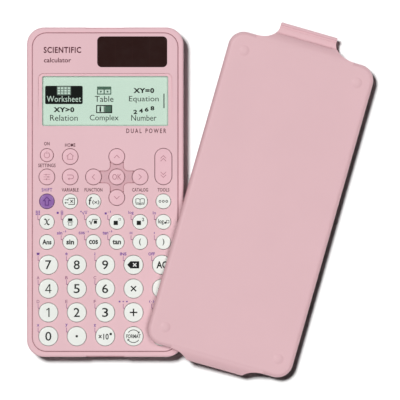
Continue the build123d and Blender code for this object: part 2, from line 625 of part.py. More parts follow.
with BuildPart() as key_mat:
    with BuildSketch(Plane.XY.offset(MAT_BOTTOM)):
        with Locations((0, (MAT_TOP_Y + MAT_FOOT_Y) / 2)):
            RectangleRounded(MAT_WIDTH, MAT_TOP_Y - MAT_FOOT_Y, DOME_TOP_RADIUS)
    extrude(amount=MAT_BASE)
    with Locations(*[(x, y, MAT_TOP) for x, y in KEY_PLACES + ROCKER_DOMES]):
        Cone(
            DOME_BASE_RADIUS,
            DOME_TOP_RADIUS,
            DOME_HEIGHT,
            align=(Align.CENTER, Align.CENTER, Align.MIN),
        )
    with Locations(*[(x, y, MAT_BOTTOM) for x, y in KEY_PLACES + ROCKER_DOMES]):
        Cone(
            DOME_BASE_RADIUS,
            DOME_TOP_RADIUS - DOME_WALL,
            MAT_BASE + DOME_HEIGHT - DOME_WALL,
            align=(Align.CENTER, Align.CENTER, Align.MIN),
            mode=Mode.SUBTRACT,
        )


# ---------------------------------------------------------------- keys
def round_key(x, y, diameter, top):
    """A turned key: stem on its dome, flange under the face, cap with a rounded, crowned top."""
    radius = diameter / 2
    flange = radius + KEY_CLEARANCE + FLANGE_LIP
    with BuildPart() as key:
        with BuildSketch(Plane(origin=(x, y, 0), x_dir=(1, 0, 0), z_dir=(0, -1, 0))) as profile:
            with BuildLine():
                Polyline(
                    (0, top),
                    (0, STEM_FOOT),
                    (KEY_STEM_RADIUS, STEM_FOOT),
                    (KEY_STEM_RADIUS, FLANGE_TOP - FLANGE_THICKNESS),
                    (flange, FLANGE_TOP - FLANGE_THICKNESS),
                    (flange, FLANGE_TOP),
                    (radius, FLANGE_TOP),
                    (radius, top - KEY_CROWN),
                )
                TangentArc((0, top), (radius, top - KEY_CROWN), tangent=(1, 0))
            make_face()
            fillet(profile.vertices().group_by(Axis.Y)[-2], KEY_EDGE_ROUND)
        revolve(axis=Axis((x, y, 0), (0, 0, 1)))
    return key.part


for name, x, y, diameter, top in ROUND_KEYS:
    save(round_key(x, y, diameter, top), name)

# the page rocker lies on its two domes and tilts on a ridge under the face
FLANGE_SWING = (ROCKER_LENGTH / 2 + FLANGE_LIP) * sin(radians(ROCKER_TILT))
ROCKER_FLANGE_TOP = FACE_UNDERSIDE - FLANGE_SWING - 2 * REST_GAP
ROCKER_PIVOT_HEIGHT = FACE_UNDERSIDE - REST_GAP - ROCKER_PIVOT_RADIUS

with BuildPart() as key_page:
    with BuildSketch(Plane.XY.offset(STEM_FOOT)):
        with Locations((ROCKER_X, ROCKER_Y)):
            SlotOverall(
                ROCKER_LENGTH + 2 * FLANGE_LIP,
                ROCKER_WIDTH + 2 * (KEY_CLEARANCE + FLANGE_LIP),
                rotation=90,
            )
    extrude(amount=ROCKER_FLANGE_TOP - STEM_FOOT)
    with BuildSketch(Plane.XY.offset(ROCKER_FLANGE_TOP)):
        with Locations((ROCKER_X, ROCKER_Y)):
            SlotOverall(ROCKER_LENGTH, ROCKER_WIDTH, rotation=90)
    extrude(amount=CONTROL_KEY_TOP - ROCKER_FLANGE_TOP)
    fillet(key_page.faces().sort_by(Axis.Z)[-1].edges(), KEY_EDGE_ROUND)
    with BuildSketch(Plane.YZ.offset(ROCKER_X)):
        with Locations((ROCKER_Y, ROCKER_PIVOT_HEIGHT)):
            Circle(ROCKER_PIVOT_RADIUS)
        with Locations((ROCKER_Y, (ROCKER_FLANGE_TOP + ROCKER_PIVOT_HEIGHT) / 2)):
            Rectangle(2 * ROCKER_PIVOT_RADIUS, ROCKER_PIVOT_HEIGHT - ROCKER_FLANGE_TOP)
    extrude(amount=ROCKER_WIDTH / 2 + KEY_CLEARANCE + FLANGE_LIP, both=True)


# ---------------------------------------------------------------- protective cover
# It is drawn where it sits when closed, on planes that are tied to how it lies.
LEVER = COVER_LANDING + TAB_WIDTH / 2
RISE = COVER_RIM - TAB_FOOT
LANDING_HEIGHT = KEY_TOP + COVER_LYING_GAP
TILT = asin(LANDING_HEIGHT / hypot(LEVER, RISE)) - atan2(RISE, LEVER)
YAW = radians(COVER_YAW)
COVER_ACROSS = Vector(cos(TILT) * cos(YAW), -cos(TILT) * sin(YAW), -sin(TILT))
COVER_ALONG = Vector(sin(YAW), cos(YAW), 0)
COVER_UP = COVER_ACROSS.cross(COVER_ALONG)
LOWER_TAB_CORNER = (
    COVER_ACROSS * (-LOWER_TAB_WIDTH / 2) + COVER_ALONG * -TAB_OUTSIDE + COVER_UP * TAB_FOOT
)
COVER_ORIGIN = Vector(
    BODY_WIDTH / 2 + COVER_BESIDE - LOWER_TAB_CORNER.X,
    -BODY_LENGTH / 2 - COVER_BELOW - LOWER_TAB_CORNER.Y,
    TAB_WIDTH / 2 * sin(TILT) - TAB_FOOT * cos(TILT),
)


def cover_level(height, end=1):
    """Level plane of the cover, its y axis pointing out of one end (1 upper, -1 lower)."""
    flat = Plane(origin=COVER_ORIGIN, x_dir=COVER_ACROSS * end, z_dir=COVER_UP)
    return flat.offset(height)


def cover_profile_plane(end):
    """Upright plane along the cover, its x axis pointing out of one end."""
    return Plane(origin=COVER_ORIGIN, x_dir=COVER_ALONG * end, z_dir=COVER_ACROSS * end)


def cover_tab(end, width, lip_reach):
    """A tab with its hook; lip_reach is how far a finger lip stands out from its wall."""
    tray_end = COVER_LENGTH / 2
    reach = TAB_OUTSIDE + lip_reach
    shoulder = tray_end - COVER_EDGE_ROUND
    skin_top = COVER_TOP - TAB_SUNK
    ear_x = width / 2 + TAB_EAR_WIDTH
    notch_face = BODY_LENGTH / 2 - NOTCH_DEPTH + HOOK_GAP
    with BuildPart() as tab:
        # the skin that sweeps from the tray's roof down to the tab's wall
        with BuildSketch(cover_profile_plane(end)):
            with BuildLine():
                Line((shoulder, COVER_INSIDE), (shoulder, skin_top))
                TangentArc((shoulder, skin_top), (TAB_OUTSIDE, COVER_RIM), tangent=(1, 0))
                Polyline(
                    (TAB_OUTSIDE, COVER_RIM),
                    (tray_end - COVER_WALL, COVER_RIM),
                    (tray_end - COVER_WALL, COVER_INSIDE),
                    (shoulder, COVER_INSIDE),
                )
            make_face()
        extrude(amount=ear_x, both=True)
        if lip_reach:
            # finger lip: a shelf with a crease across it and a bead along its edge
            with BuildSketch(cover_profile_plane(end)):
                with Locations((TAB_INSIDE, LIP_HEIGHT)):
                    Rectangle(reach - TAB_INSIDE - LIP_BEAD, LIP_THICKNESS, align=(Align.MIN, Align.MAX))
                with Locations((TAB_INSIDE, COVER_RIM)):
                    Rectangle(TAB_WALL, COVER_RIM - LIP_HEIGHT, align=(Align.MIN, Align.MAX))
                with Locations((reach - LIP_THICKNESS, LIP_HEIGHT - LIP_THICKNESS / 2 + LIP_BEAD / 2)):
                    Circle((LIP_THICKNESS + LIP_BEAD) / 2)
                with Locations((TAB_OUTSIDE + LIP_CREASE, LIP_HEIGHT)):
                    Rectangle(LIP_CREASE_DEPTH, 2 * LIP_CREASE_DEPTH, mode=Mode.SUBTRACT)
            extrude(amount=ear_x, both=True)
        with BuildSketch(cover_level(0, end)) as plan:
            with Locations((0, (tray_end - TAB_EAR_LENGTH + reach) / 2)):
                Rectangle(2 * ear_x, reach - tray_end + TAB_EAR_LENGTH)
            with Locations(*[(side * ear_x, tray_end + TAB_EAR_LENGTH) for side in (-1, 1)]):
                Ellipse(TAB_EAR_WIDTH, TAB_EAR_LENGTH, mode=Mode.SUBTRACT)
            with Locations(*[(side * ear_x, tray_end + 2 * TAB_EAR_LENGTH) for side in (-1, 1)]):
                Rectangle(2 * TAB_EAR_WIDTH, 2 * TAB_EAR_LENGTH, mode=Mode.SUBTRACT)
            fillet(plan.vertices().group_by(Axis.Y)[-1], TAB_CORNER)
        extrude(amount=COVER_TOP + BUMP_RISE, mode=Mode.INTERSECT)
        # the wall that passes the case's end, and its hook
        with BuildSketch(cover_profile_plane(end)):
            with Locations((TAB_INSIDE, COVER_RIM)):
                Rectangle(TAB_WALL, COVER_RIM - TAB_FOOT, align=(Align.MIN, Align.MAX))
        extrude(amount=width / 2, both=True)
        with BuildSketch(cover_profile_plane(end)):
            with BuildLine():
                Polyline(
                    (TAB_INSIDE, TAB_FOOT),
                    (notch_face, HOOK_BOTTOM),
                    (notch_face - HOOK_REACH, (HOOK_BOTTOM + HOOK_TOP) / 2),
                    (notch_face, HOOK_TOP),
                    (notch_face, COVER_RIM),
                    (TAB_INSIDE, COVER_RIM),
                    (TAB_INSIDE, TAB_FOOT),
                )
            make_face()
        extrude(amount=HOOK_WIDTH / 2, both=True)
    return tab.part


upper_tab = cover_tab(1, TAB_WIDTH, LIP_REACH)
lower_tab = cover_tab(-1, LOWER_TAB_WIDTH, 0)

with BuildPart() as bump:
    with BuildSketch(Plane.XZ):
        with BuildLine():
            Polyline(
                (0, BUMP_RISE),
                (0, -COVER_ROOF / 2),
                (BUMP_RADIUS, -COVER_ROOF / 2),
                (BUMP_RADIUS, 0),
            )
            TangentArc((0, BUMP_RISE), (BUMP_RADIUS, 0), tangent=(1, 0))
        make_face()
    revolve(axis=Axis.Z)

with BuildPart() as tray_hollow:
    with BuildSketch(cover_level(COVER_RIM - COVER_WALL)):
        RectangleRounded(COVER_INNER_WIDTH, COVER_INNER_LENGTH, COVER_CORNER - COVER_WALL)
    extrude(amount=COVER_INSIDE - COVER_RIM + COVER_WALL)
    roof_side = tray_hollow.faces().filter_by(cover_level(0)).sort_by(Axis(COVER_ORIGIN, COVER_UP))[-1]
    fillet(roof_side.edges(), COVER_EDGE_ROUND - COVER_WALL)

with BuildPart() as protective_cover:
    with BuildSketch(cover_level(COVER_RIM)):
        RectangleRounded(COVER_WIDTH, COVER_LENGTH, COVER_CORNER)
    extrude(amount=COVER_TOP - COVER_RIM)
    roof = protective_cover.faces().filter_by(cover_level(0)).sort_by(Axis(COVER_ORIGIN, COVER_UP))[-1]
    fillet(roof.edges(), COVER_EDGE_ROUND)
    add(upper_tab)
    add(lower_tab)
    add(tray_hollow.part, mode=Mode.SUBTRACT)
    with Locations(*[
        cover_level(COVER_TOP).location * Location((side_x * BUMP_X, side_y * BUMP_Y, 0))
        for side_x in (-1, 1)
        for side_y in (-1, 1)
    ]):
        add(bump.part)


# ---------------------------------------------------------------- the rest of the pieces
save(front_housing.part, "front_housing")
save(rear_housing.part, "rear_housing")
save(display_window.part, "display_window")
save(lcd_panel.part, "lcd_panel")
save(lcd_connector.part, "lcd_connector")
save(solar_panel.part, "solar_panel")
save(circuit_board.part, "circuit_board")
save(key_mat.part, "key_mat")
save(key_page.part, "key_page")
save(battery.part, "battery")
save(battery_contacts.part, "battery_contacts")
save(battery_door.part, "battery_door")
save(case_screws.part, "case_screws")
save(protective_cover.part, "protective_cover")
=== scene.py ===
import json
import math

import bmesh
import bpy
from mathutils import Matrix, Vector
from mathutils.bvhtree import BVHTree

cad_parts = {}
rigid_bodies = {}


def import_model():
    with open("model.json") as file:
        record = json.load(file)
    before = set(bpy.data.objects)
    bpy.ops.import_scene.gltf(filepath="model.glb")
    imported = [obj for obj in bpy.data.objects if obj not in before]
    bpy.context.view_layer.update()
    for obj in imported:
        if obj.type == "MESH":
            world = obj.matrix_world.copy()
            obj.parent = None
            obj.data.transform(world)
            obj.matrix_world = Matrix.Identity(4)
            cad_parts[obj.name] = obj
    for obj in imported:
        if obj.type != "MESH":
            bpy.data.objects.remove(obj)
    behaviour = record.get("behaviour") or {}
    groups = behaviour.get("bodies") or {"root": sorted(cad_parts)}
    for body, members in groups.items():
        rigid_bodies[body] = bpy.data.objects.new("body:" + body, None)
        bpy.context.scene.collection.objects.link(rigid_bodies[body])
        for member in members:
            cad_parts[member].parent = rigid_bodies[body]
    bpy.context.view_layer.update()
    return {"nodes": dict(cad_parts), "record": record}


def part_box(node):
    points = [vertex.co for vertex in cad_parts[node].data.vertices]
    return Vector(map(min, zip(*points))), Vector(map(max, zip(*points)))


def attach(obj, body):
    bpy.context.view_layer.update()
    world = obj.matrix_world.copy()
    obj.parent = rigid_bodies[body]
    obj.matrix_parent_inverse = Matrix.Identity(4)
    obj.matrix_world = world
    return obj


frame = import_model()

NODES = frame["nodes"]
MM = 0.001

# ------------------------------------------------------------------ colours, as seen on a screen
CASE_PINK = (231, 189, 196)
COVER_PINK = (229, 187, 193)
KEY_PINK = (236, 190, 199)
KEY_WHITE = (246, 249, 243)
KEY_PURPLE = (150, 104, 176)
INK_BLACK = (30, 32, 32)
INK_MAROON = (84, 34, 46)
INK_PURPLE = (116, 66, 158)
INK_PINK = (186, 132, 144)
INK_DEEP_PURPLE = (104, 62, 134)
LCD_GREEN = (217, 245, 226)
LCD_INK = (8, 12, 10)
SOLAR_BROWN = (46, 27, 25)
INK_MAUVE = (152, 92, 128)
INK_LEADER = (158, 98, 150)
LCD_GREY = (120, 140, 128)
LCD_DARK_GREEN = (84, 116, 98)
# Painted shadow colours, for the strips in the groove round the face and along the ditch's inner corners.
GROOVE_SHADOW = (176, 120, 130)
DITCH_SHADOW = (190, 136, 144)
# Painted shade for the sunk cross between the arrow keys:
DITCH_PAINTED_SHADE = (0.80, 0.74, 0.76, 1.0)    # multiplies the case's colour
WINDOW_TINT = (70, 80, 74)
WINDOW_TINT_LIGHT = (78, 88, 82)
BOARD_GREEN = (28, 92, 52)
TRACK_GREEN = (44, 120, 70)
MAT_GREY = (150, 150, 148)
STEEL_GREY = (200, 200, 196)
SCREW_GREY = (120, 120, 124)
FLOOR_GREY = (208, 208, 208)
FLOOR_GREY_LIGHT = (211, 211, 211)

# ------------------------------------------------------------------ fine patterns, in millimetres
LCD_DOT = 0.32
LCD_DOT_GAP = 0.04
SOLAR_STRIP = 8.4
SOLAR_STRIP_GAP = 0.16
TRACK_PITCH = 1.3
TRACK_WIDTH = 0.4
# Where the painted shade in the sunk cross between the arrow keys lies:
DITCH_FLOOR_UNDER_FACE = 0.85
DITCH_FLOOR_REACH = 0.7     # heights this near to the floor of the ditch are shaded


def linear(colour):
    """A screen colour (0 to 255) as Blender's linear light."""
    parts = [channel / 255 for channel in colour]
    return tuple(p / 12.92 if p < 0.04045 else ((p + 0.055) / 1.055) ** 2.4 for p in parts) + (1.0,)


def shade(colour, factor):
    """The same colour, lighter or darker."""
    return tuple(min(255, channel * factor) for channel in colour)


# ------------------------------------------------------------------ materials
def blank_material(name):
    material = bpy.data.materials.new(name)
    material.use_nodes = True
    shader = material.node_tree.nodes["Principled BSDF"]
    return material, material.node_tree, shader


def noise(tree, size, detail=2.0):
    """Noise whose grains are about size millimetres, fixed to the object."""
    place = tree.nodes.new("ShaderNodeTexCoord")
    texture = tree.nodes.new("ShaderNodeTexNoise")
    texture.inputs["Scale"].default_value = 1 / (size * MM)
    texture.inputs["Detail"].default_value = detail
    tree.links.new(place.outputs["Object"], texture.inputs["Vector"])
    return texture.outputs["Fac"]


def between(tree, value, low, high):
    """Spreads a 0-1 value over low to high."""
    node = tree.nodes.new("ShaderNodeMapRange")
    node.inputs["From Min"].default_value = 0.3
    node.inputs["From Max"].default_value = 0.7
    node.inputs["To Min"].default_value = low
    node.inputs["To Max"].default_value = high
    tree.links.new(value, node.inputs["Value"])
    return node.outputs["Result"]


def blend_colours(tree, value, first, second):
    node = tree.nodes.new("ShaderNodeMix")
    node.data_type = "RGBA"
    node.inputs["A"].default_value = linear(first)
    node.inputs["B"].default_value = linear(second)
    tree.links.new(value, node.inputs["Factor"])
    return node.outputs["Result"]


def moulded_plastic(name, colour, roughness, grain, depth, mottle=0.005, spread=0.05, coat=0.0):
    """Injection-moulded plastic: a faint drift of colour, uneven polish and a fine mould grain."""
    material, tree, shader = blank_material(name)
    drift = between(tree, noise(tree, 22.0), 0.0, 1.0)
    tint = blend_colours(tree, drift, shade(colour, 1 - mottle), shade(colour, 1 + mottle))
    tree.links.new(tint, shader.inputs["Base Color"])
    polish = between(tree, noise(tree, 2.2, 4.0), roughness - spread, roughness + spread)
    tree.links.new(polish, shader.inputs["Roughness"])
    bump = tree.nodes.new("ShaderNodeBump")
    bump.inputs["Strength"].default_value = 1.0
    bump.inputs["Distance"].default_value = depth * MM
    tree.links.new(noise(tree, grain, 3.0), bump.inputs["Height"])
    tree.links.new(bump.outputs["Normal"], shader.inputs["Normal"])
    shader.inputs["Coat Weight"].default_value = coat
    shader.inputs["Coat Roughness"].default_value = 0.12
    return material


def within(tree, value, middle, reach):
    """1 where a coordinate is nearer than reach to middle (millimetres), 0 beyond."""
    node = tree.nodes.new("ShaderNodeMath")
    node.operation = "COMPARE"
    node.inputs[1].default_value = middle * MM
    node.inputs[2].default_value = reach * MM
    tree.links.new(value, node.inputs[0])
    return node.outputs["Value"]


def times(tree, first, second):
    node = tree.nodes.new("ShaderNodeMath")
    node.operation = "MULTIPLY"
    tree.links.new(first, node.inputs[0])
    tree.links.new(second, node.inputs[1])
    return node.outputs["Value"]


def paint_ditch_shade(material):
    """Paints shade into the case's colour on the sunk cross between the arrow keys, making it a little
    darker than the face.
    """
    tree = material.node_tree
    shader = tree.nodes["Principled BSDF"]
    tint = shader.inputs["Base Color"].links[0].from_socket
    ok_low, ok_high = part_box("key_ok")
    centre = (ok_low + ok_high) / 2 / MM
    reach_x = (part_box("key_right")[1].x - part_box("key_left")[0].x) / 2 / MM
    reach_y = (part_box("key_up")[1].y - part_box("key_down")[0].y) / 2 / MM
    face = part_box("front_housing")[1].z / MM
    place = tree.nodes.new("ShaderNodeTexCoord")
    split = tree.nodes.new("ShaderNodeSeparateXYZ")
    tree.links.new(place.outputs["Object"], split.inputs["Vector"])
    inside_x = within(tree, split.outputs["X"], centre.x, reach_x)
    inside_y = within(tree, split.outputs["Y"], centre.y, reach_y)
    inside = times(tree, inside_x, inside_y)
    sunk = within(tree, split.outputs["Z"], face - DITCH_FLOOR_UNDER_FACE, DITCH_FLOOR_REACH)
    darker = tree.nodes.new("ShaderNodeMix")
    darker.data_type = "RGBA"
    darker.blend_type = "MULTIPLY"
    darker.inputs["B"].default_value = DITCH_PAINTED_SHADE
    tree.links.new(times(tree, inside, sunk), darker.inputs["Factor"])
    tree.links.new(tint, darker.inputs["A"])
    tree.links.new(darker.outputs["Result"], shader.inputs["Base Color"])


def printed_ink(name, colour):
    """Pad-printed ink with slightly uneven cover."""
    material, tree, shader = blank_material(name)
    cover = between(tree, noise(tree, 0.5, 3.0), 0.0, 1.0)
    tint = blend_colours(tree, cover, shade(colour, 0.92), shade(colour, 1.06))
    tree.links.new(tint, shader.inputs["Base Color"])
    shader.inputs["Roughness"].default_value = 0.6
    shader.inputs["Specular IOR Level"].default_value = 0.06
    return material


def clear_window():
    """Clear moulded window: nearly all see-through, with gloss."""
    material, tree, shader = blank_material("window_clear")
    tint = blend_colours(tree, noise(tree, 12.0), WINDOW_TINT, WINDOW_TINT_LIGHT)
    tree.links.new(tint, shader.inputs["Base Color"])
    shader.inputs["Roughness"].default_value = 0.06
    shader.inputs["Alpha"].default_value = 0.04
    shader.inputs["Specular IOR Level"].default_value = 0.25
    return material


def metal(name, colour, roughness):
    material, tree, shader = blank_material(name)
    tint = blend_colours(tree, noise(tree, 0.6, 4.0), shade(colour, 0.9), shade(colour, 1.08))
    tree.links.new(tint, shader.inputs["Base Color"])
    shader.inputs["Metallic"].default_value = 1.0
    wear = between(tree, noise(tree, 0.25, 4.0), roughness - 0.08, roughness + 0.1)
    tree.links.new(wear, shader.inputs["Roughness"])
    return material


def lines_across(tree, axis, pitch, width, offset=0.0):
    """1 on thin lines every pitch millimetres along an axis, 0 between them."""
    place = tree.nodes.new("ShaderNodeTexCoord")
    split = tree.nodes.new("ShaderNodeSeparateXYZ")
    tree.links.new(place.outputs["Object"], split.inputs["Vector"])
    moved = tree.nodes.new("ShaderNodeMath")
    moved.operation = "ADD"
    moved.inputs[1].default_value = -offset * MM
    tree.links.new(split.outputs[axis], moved.inputs[0])
    scaled = tree.nodes.new("ShaderNodeMath")
    scaled.operation = "PINGPONG"
    scaled.inputs[1].default_value = pitch * MM / 2
    tree.links.new(moved.outputs["Value"], scaled.inputs[0])
    near = tree.nodes.new("ShaderNodeMath")
    near.operation = "LESS_THAN"
    near.inputs[1].default_value = width * MM / 2
    tree.links.new(scaled.outputs["Value"], near.inputs[0])
    return near.outputs["Value"]


def lcd_glass():
    """The reflective LCD: pale green with the faint grid of its dots."""
    material, tree, shader = blank_material("lcd_green")
    grid = tree.nodes.new("ShaderNodeMath")
    grid.operation = "MAXIMUM"
    tree.links.new(lines_across(tree, "X", LCD_DOT, LCD_DOT_GAP), grid.inputs[0])
    tree.links.new(lines_across(tree, "Y", LCD_DOT, LCD_DOT_GAP), grid.inputs[1])
    tint = blend_colours(tree, grid.outputs["Value"], LCD_GREEN, shade(LCD_GREEN, 0.97))
    tree.links.new(tint, shader.inputs["Base Color"])
    polish = between(tree, noise(tree, 3.0), 0.5, 0.6)
    tree.links.new(polish, shader.inputs["Roughness"])
    return material


def solar_glass():
    """Dark amorphous cell under a glossy window, split into four strips."""
    low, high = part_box("solar_panel")
    middle = (low.x + high.x) / 2 / MM
    material, tree, shader = blank_material("solar_dark")
    gaps = lines_across(tree, "X", SOLAR_STRIP, SOLAR_STRIP_GAP, middle)
    tint = blend_colours(tree, gaps, SOLAR_BROWN, shade(SOLAR_BROWN, 1.15))
    tree.links.new(tint, shader.inputs["Base Color"])
    polish = between(tree, noise(tree, 4.0), 0.16, 0.24)
    tree.links.new(polish, shader.inputs["Roughness"])
    shader.inputs["Specular IOR Level"].default_value = 0.15
    return material


def circuit_green():
    material, tree, shader = blank_material("board_green")
    tracks = lines_across(tree, "X", TRACK_PITCH, TRACK_WIDTH)
    tint = blend_colours(tree, tracks, BOARD_GREEN, TRACK_GREEN)
    tree.links.new(tint, shader.inputs["Base Color"])
    shader.inputs["Roughness"].default_value = 0.35
    return material


case_plastic = moulded_plastic("case_plastic", CASE_PINK, 0.48, 0.22, 0.008)
# Painted shade in the sunk cross between the arrow keys.
paint_ditch_shade(case_plastic)
cover_plastic = moulded_plastic("cover_plastic", COVER_PINK, 0.50, 0.25, 0.008)
pink_key_plastic = moulded_plastic("pink_key_plastic", KEY_PINK, 0.38, 0.2, 0.004)
white_key_plastic = moulded_plastic("white_key_plastic", KEY_WHITE, 0.24, 0.6, 0.002, 0.006, coat=0.3)
purple_key_plastic = moulded_plastic("purple_key_plastic", KEY_PURPLE, 0.26, 0.6, 0.002, coat=0.3)
rubber = moulded_plastic("mat_rubber", MAT_GREY, 0.7, 0.4, 0.01)
steel = metal("plated_steel", STEEL_GREY, 0.3)
screw_steel = metal("screw_steel", SCREW_GREY, 0.38)
black_ink = printed_ink("ink_black", INK_BLACK)
maroon_ink = printed_ink("ink_maroon", INK_MAROON)
purple_ink = printed_ink("ink_purple", INK_PURPLE)
pink_ink = printed_ink("ink_pink", INK_PINK)
deep_purple_ink = printed_ink("ink_deep_purple", INK_DEEP_PURPLE)
white_ink = printed_ink("ink_white", KEY_WHITE)
alpha_ink = printed_ink("ink_alpha", INK_MAUVE)
leader_ink = printed_ink("ink_leader", INK_LEADER)
lcd_grey = printed_ink("lcd_grey", LCD_GREY)
lcd_ink = printed_ink("lcd_dark", LCD_INK)
lcd_shade = printed_ink("lcd_shade", LCD_DARK_GREEN)
# Painted shadow for the dark strip in the groove round the key face.
groove_painted_shadow = printed_ink("groove_shadow", GROOVE_SHADOW)
# Painted shadow for the dark strips along the ditch's inner corners.
ditch_painted_shadow = printed_ink("ditch_shadow", DITCH_SHADOW)
lcd_pale = printed_ink("lcd_pale", LCD_GREEN)

SLOT_MATERIALS = {
    "shell": case_plastic,
    "cover_shell": cover_plastic,
    "white_key": white_key_plastic,
    "pink_key": pink_key_plastic,
    "shift_key": purple_key_plastic,
    "window": clear_window(),
    "lcd": lcd_glass(),
    "solar": solar_glass(),
    "board": circuit_green(),
    "rubber": rubber,
    "steel": steel,
    "screw_steel": screw_steel,
}


def dress_cad_nodes():
    for part in frame["record"]["subparts"]:
        node = NODES[part["node"]]
        node.data.materials.clear()
        node.data.materials.append(SLOT_MATERIALS[part["material_slot"]])


# ------------------------------------------------------------------ flat shapes, in millimetres
def text(words, height, width=None, bold=0.0, slant=0.0, gap=1.0):
    """Lettering centred on (0, 0): height of its tallest letter, and its width if it is squeezed."""
    curve = bpy.data.curves.new("lettering", "FONT")
    curve.body = words
    curve.offset = bold
    curve.shear = slant
    curve.space_character = gap
    curve.resolution_u = 3
    maker = bpy.data.objects.new("lettering", curve)
    bpy.context.scene.collection.objects.link(maker)
    bpy.context.view_layer.update()
    mesh = bpy.data.meshes.new_from_object(maker.evaluated_get(bpy.context.evaluated_depsgraph_get()))
    points = [(v.co.x, v.co.y) for v in mesh.vertices]
    faces = [tuple(p.vertices) for p in mesh.polygons]
    bpy.data.objects.remove(maker)
    bpy.data.curves.remove(curve)
    bpy.data.meshes.remove(mesh)
    xs = [p[0] for p in points]
    ys = [p[1] for p in points]
    tall = height / (max(ys) - min(ys))
    wide = width / (max(xs) - min(xs)) if width else tall
    centre = ((max(xs) + min(xs)) / 2, (max(ys) + min(ys)) / 2)
    return [([((x - centre[0]) * wide, (y - centre[1]) * tall) for x, y in points], faces)]


def polygon(points):
    return [(list(points), [tuple(range(len(points)))])]


def bar(width, height):
    w, h = width / 2, height / 2
    return polygon([(-w, -h), (w, -h), (w, h), (-w, h)])


def line(points, thickness, closed=False):
    """A stroke of even thickness along points, as a strip of four-sided faces."""
    count = len(points)
    left, right = [], []
    for i, (x, y) in enumerate(points):
        before = points[i - 1] if i or closed else points[i]
        after = points[(i + 1) % count] if i < count - 1 or closed else points[i]
        way_in = Vector((x - before[0], y - before[1]))
        way_out = Vector((after[0] - x, after[1] - y))
        way_in = way_in.normalized() if way_in.length else way_out.normalized()
        way_out = way_out.normalized() if way_out.length else way_in
        along = (way_in + way_out).normalized()
        stretch = thickness / 2 / max(0.35, along.dot(way_in))
        left.append((x - along.y * stretch, y + along.x * stretch))
        right.append((x + along.y * stretch, y - along.x * stretch))
    spans = count if closed else count - 1
    faces = [(i, count + i, count + (i + 1) % count, (i + 1) % count) for i in range(spans)]
    return [(left + right, faces)]


def arc_points(radius, start, end, steps=20, centre=(0, 0)):
    """Points on an arc, its angles in degrees."""
    angles = [math.radians(start + (end - start) * i / steps) for i in range(steps + 1)]
    return [(centre[0] + radius * math.cos(a), centre[1] + radius * math.sin(a)) for a in angles]


def ring(radius, thickness):
    return line(arc_points(radius, 0, 360, 24)[:-1], thickness, closed=True)


def frame_box(width, height, thickness):
    w, h = (width - thickness) / 2, (height - thickness) / 2
    return line([(-w, -h), (w, -h), (w, h), (-w, h)], thickness, closed=True)


def rounded_box(width, height, radius):
    points = []
    for turn, (sx, sy) in enumerate([(1, 1), (-1, 1), (-1, -1), (1, -1)]):
        corner = (sx * (width / 2 - radius), sy * (height / 2 - radius))
        points += arc_points(radius, 90 * turn, 90 * turn + 90, 5, corner)
    return polygon(points)


def moved(shapes, x, y):
    return [([(px + x, py + y) for px, py in points], faces) for points, faces in shapes]


def turned(shapes, degrees):
    c, s = math.cos(math.radians(degrees)), math.sin(math.radians(degrees))
    return [([(c * x - s * y, s * x + c * y) for x, y in points], faces) for points, faces in shapes]


# ------------------------------------------------------------------ laying flat shapes on a surface
SURFACES = {}


def surface_of(node):
    if node not in SURFACES:
        mesh = NODES[node].data
        points = [v.co.copy() for v in mesh.vertices]
        SURFACES[node] = BVHTree.FromPolygons(points, [tuple(p.vertices) for p in mesh.polygons])
    return SURFACES[node]


def divide_long_edges(sheet, longest):
    """Splits a flat sheet's faces until it can follow a surface that curves."""
    for _ in range(8):
        bmesh.ops.triangulate(sheet, faces=sheet.faces[:])
        too_long = [edge for edge in sheet.edges if edge.calc_length() > longest * MM]
        if not too_long:
            return
        bmesh.ops.subdivide_edges(sheet, edges=too_long, cuts=1)


def lay_print(name, shapes, centre, node, body, material, thickness=0.03, sunk=0.01, longest=1.0):
    """Shapes laid on top of a CAD node as a thin closed layer that follows its surface."""
    sheet = bmesh.new()
    for points, faces in shapes:
        corners = [sheet.verts.new((centre.x + x * MM, centre.y + y * MM, 0)) for x, y in points]
        for face in faces:
            sheet.faces.new([corners[i] for i in face])
    bmesh.ops.remove_doubles(sheet, verts=sheet.verts[:], dist=1e-7)
    divide_long_edges(sheet, longest)
    bmesh.ops.triangulate(sheet, faces=sheet.faces[:])
    bmesh.ops.recalc_face_normals(sheet, faces=sheet.faces[:])
    for face in sheet.faces:
        if face.normal.z > 0:
            face.normal_flip()
    bottom = sheet.verts[:]
    ground = surface_of(node)
    for vert in bottom:
        hit = ground.ray_cast(Vector((vert.co.x, vert.co.y, 0.1)), Vector((0, 0, -1)))[0]
        vert.co.z = (hit.z if hit else centre.z) - sunk * MM
    lifted = bmesh.ops.extrude_face_region(sheet, geom=sheet.faces[:], use_keep_orig=True)
    for item in lifted["geom"]:
        if isinstance(item, bmesh.types.BMVert):
            item.co.z += (thickness + sunk) * MM
    bmesh.ops.recalc_face_normals(sheet, faces=sheet.faces[:])
    mesh = bpy.data.meshes.new(name)
    sheet.to_mesh(mesh)
    sheet.free()
    mesh.materials.append(material)
    piece = bpy.data.objects.new(name, mesh)
    bpy.context.scene.collection.objects.link(piece)
    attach(piece, body)


def middle_of(node):
    """The middle of a node's top."""
    low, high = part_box(node)
    return Vector(((low.x + high.x) / 2, (low.y + high.y) / 2, high.z))


# ------------------------------------------------------------------ key legends
DIGIT_HEIGHT = 4.45
DIGIT_WIDTH = 3.0
WORD_HEIGHT = 2.45
BOOK_STROKE = 0.28


def small_block(size=1.5):
    return bar(size, size)


def hollow_block(size=1.2):
    return frame_box(size, size, size * 0.16)


def chevron(size, thickness, direction):
    """An open arrow head that points up, turned to a direction in degrees."""
    return turned(line([(-size, -size / 2), (0, size / 2), (size, -size / 2)], thickness), direction)


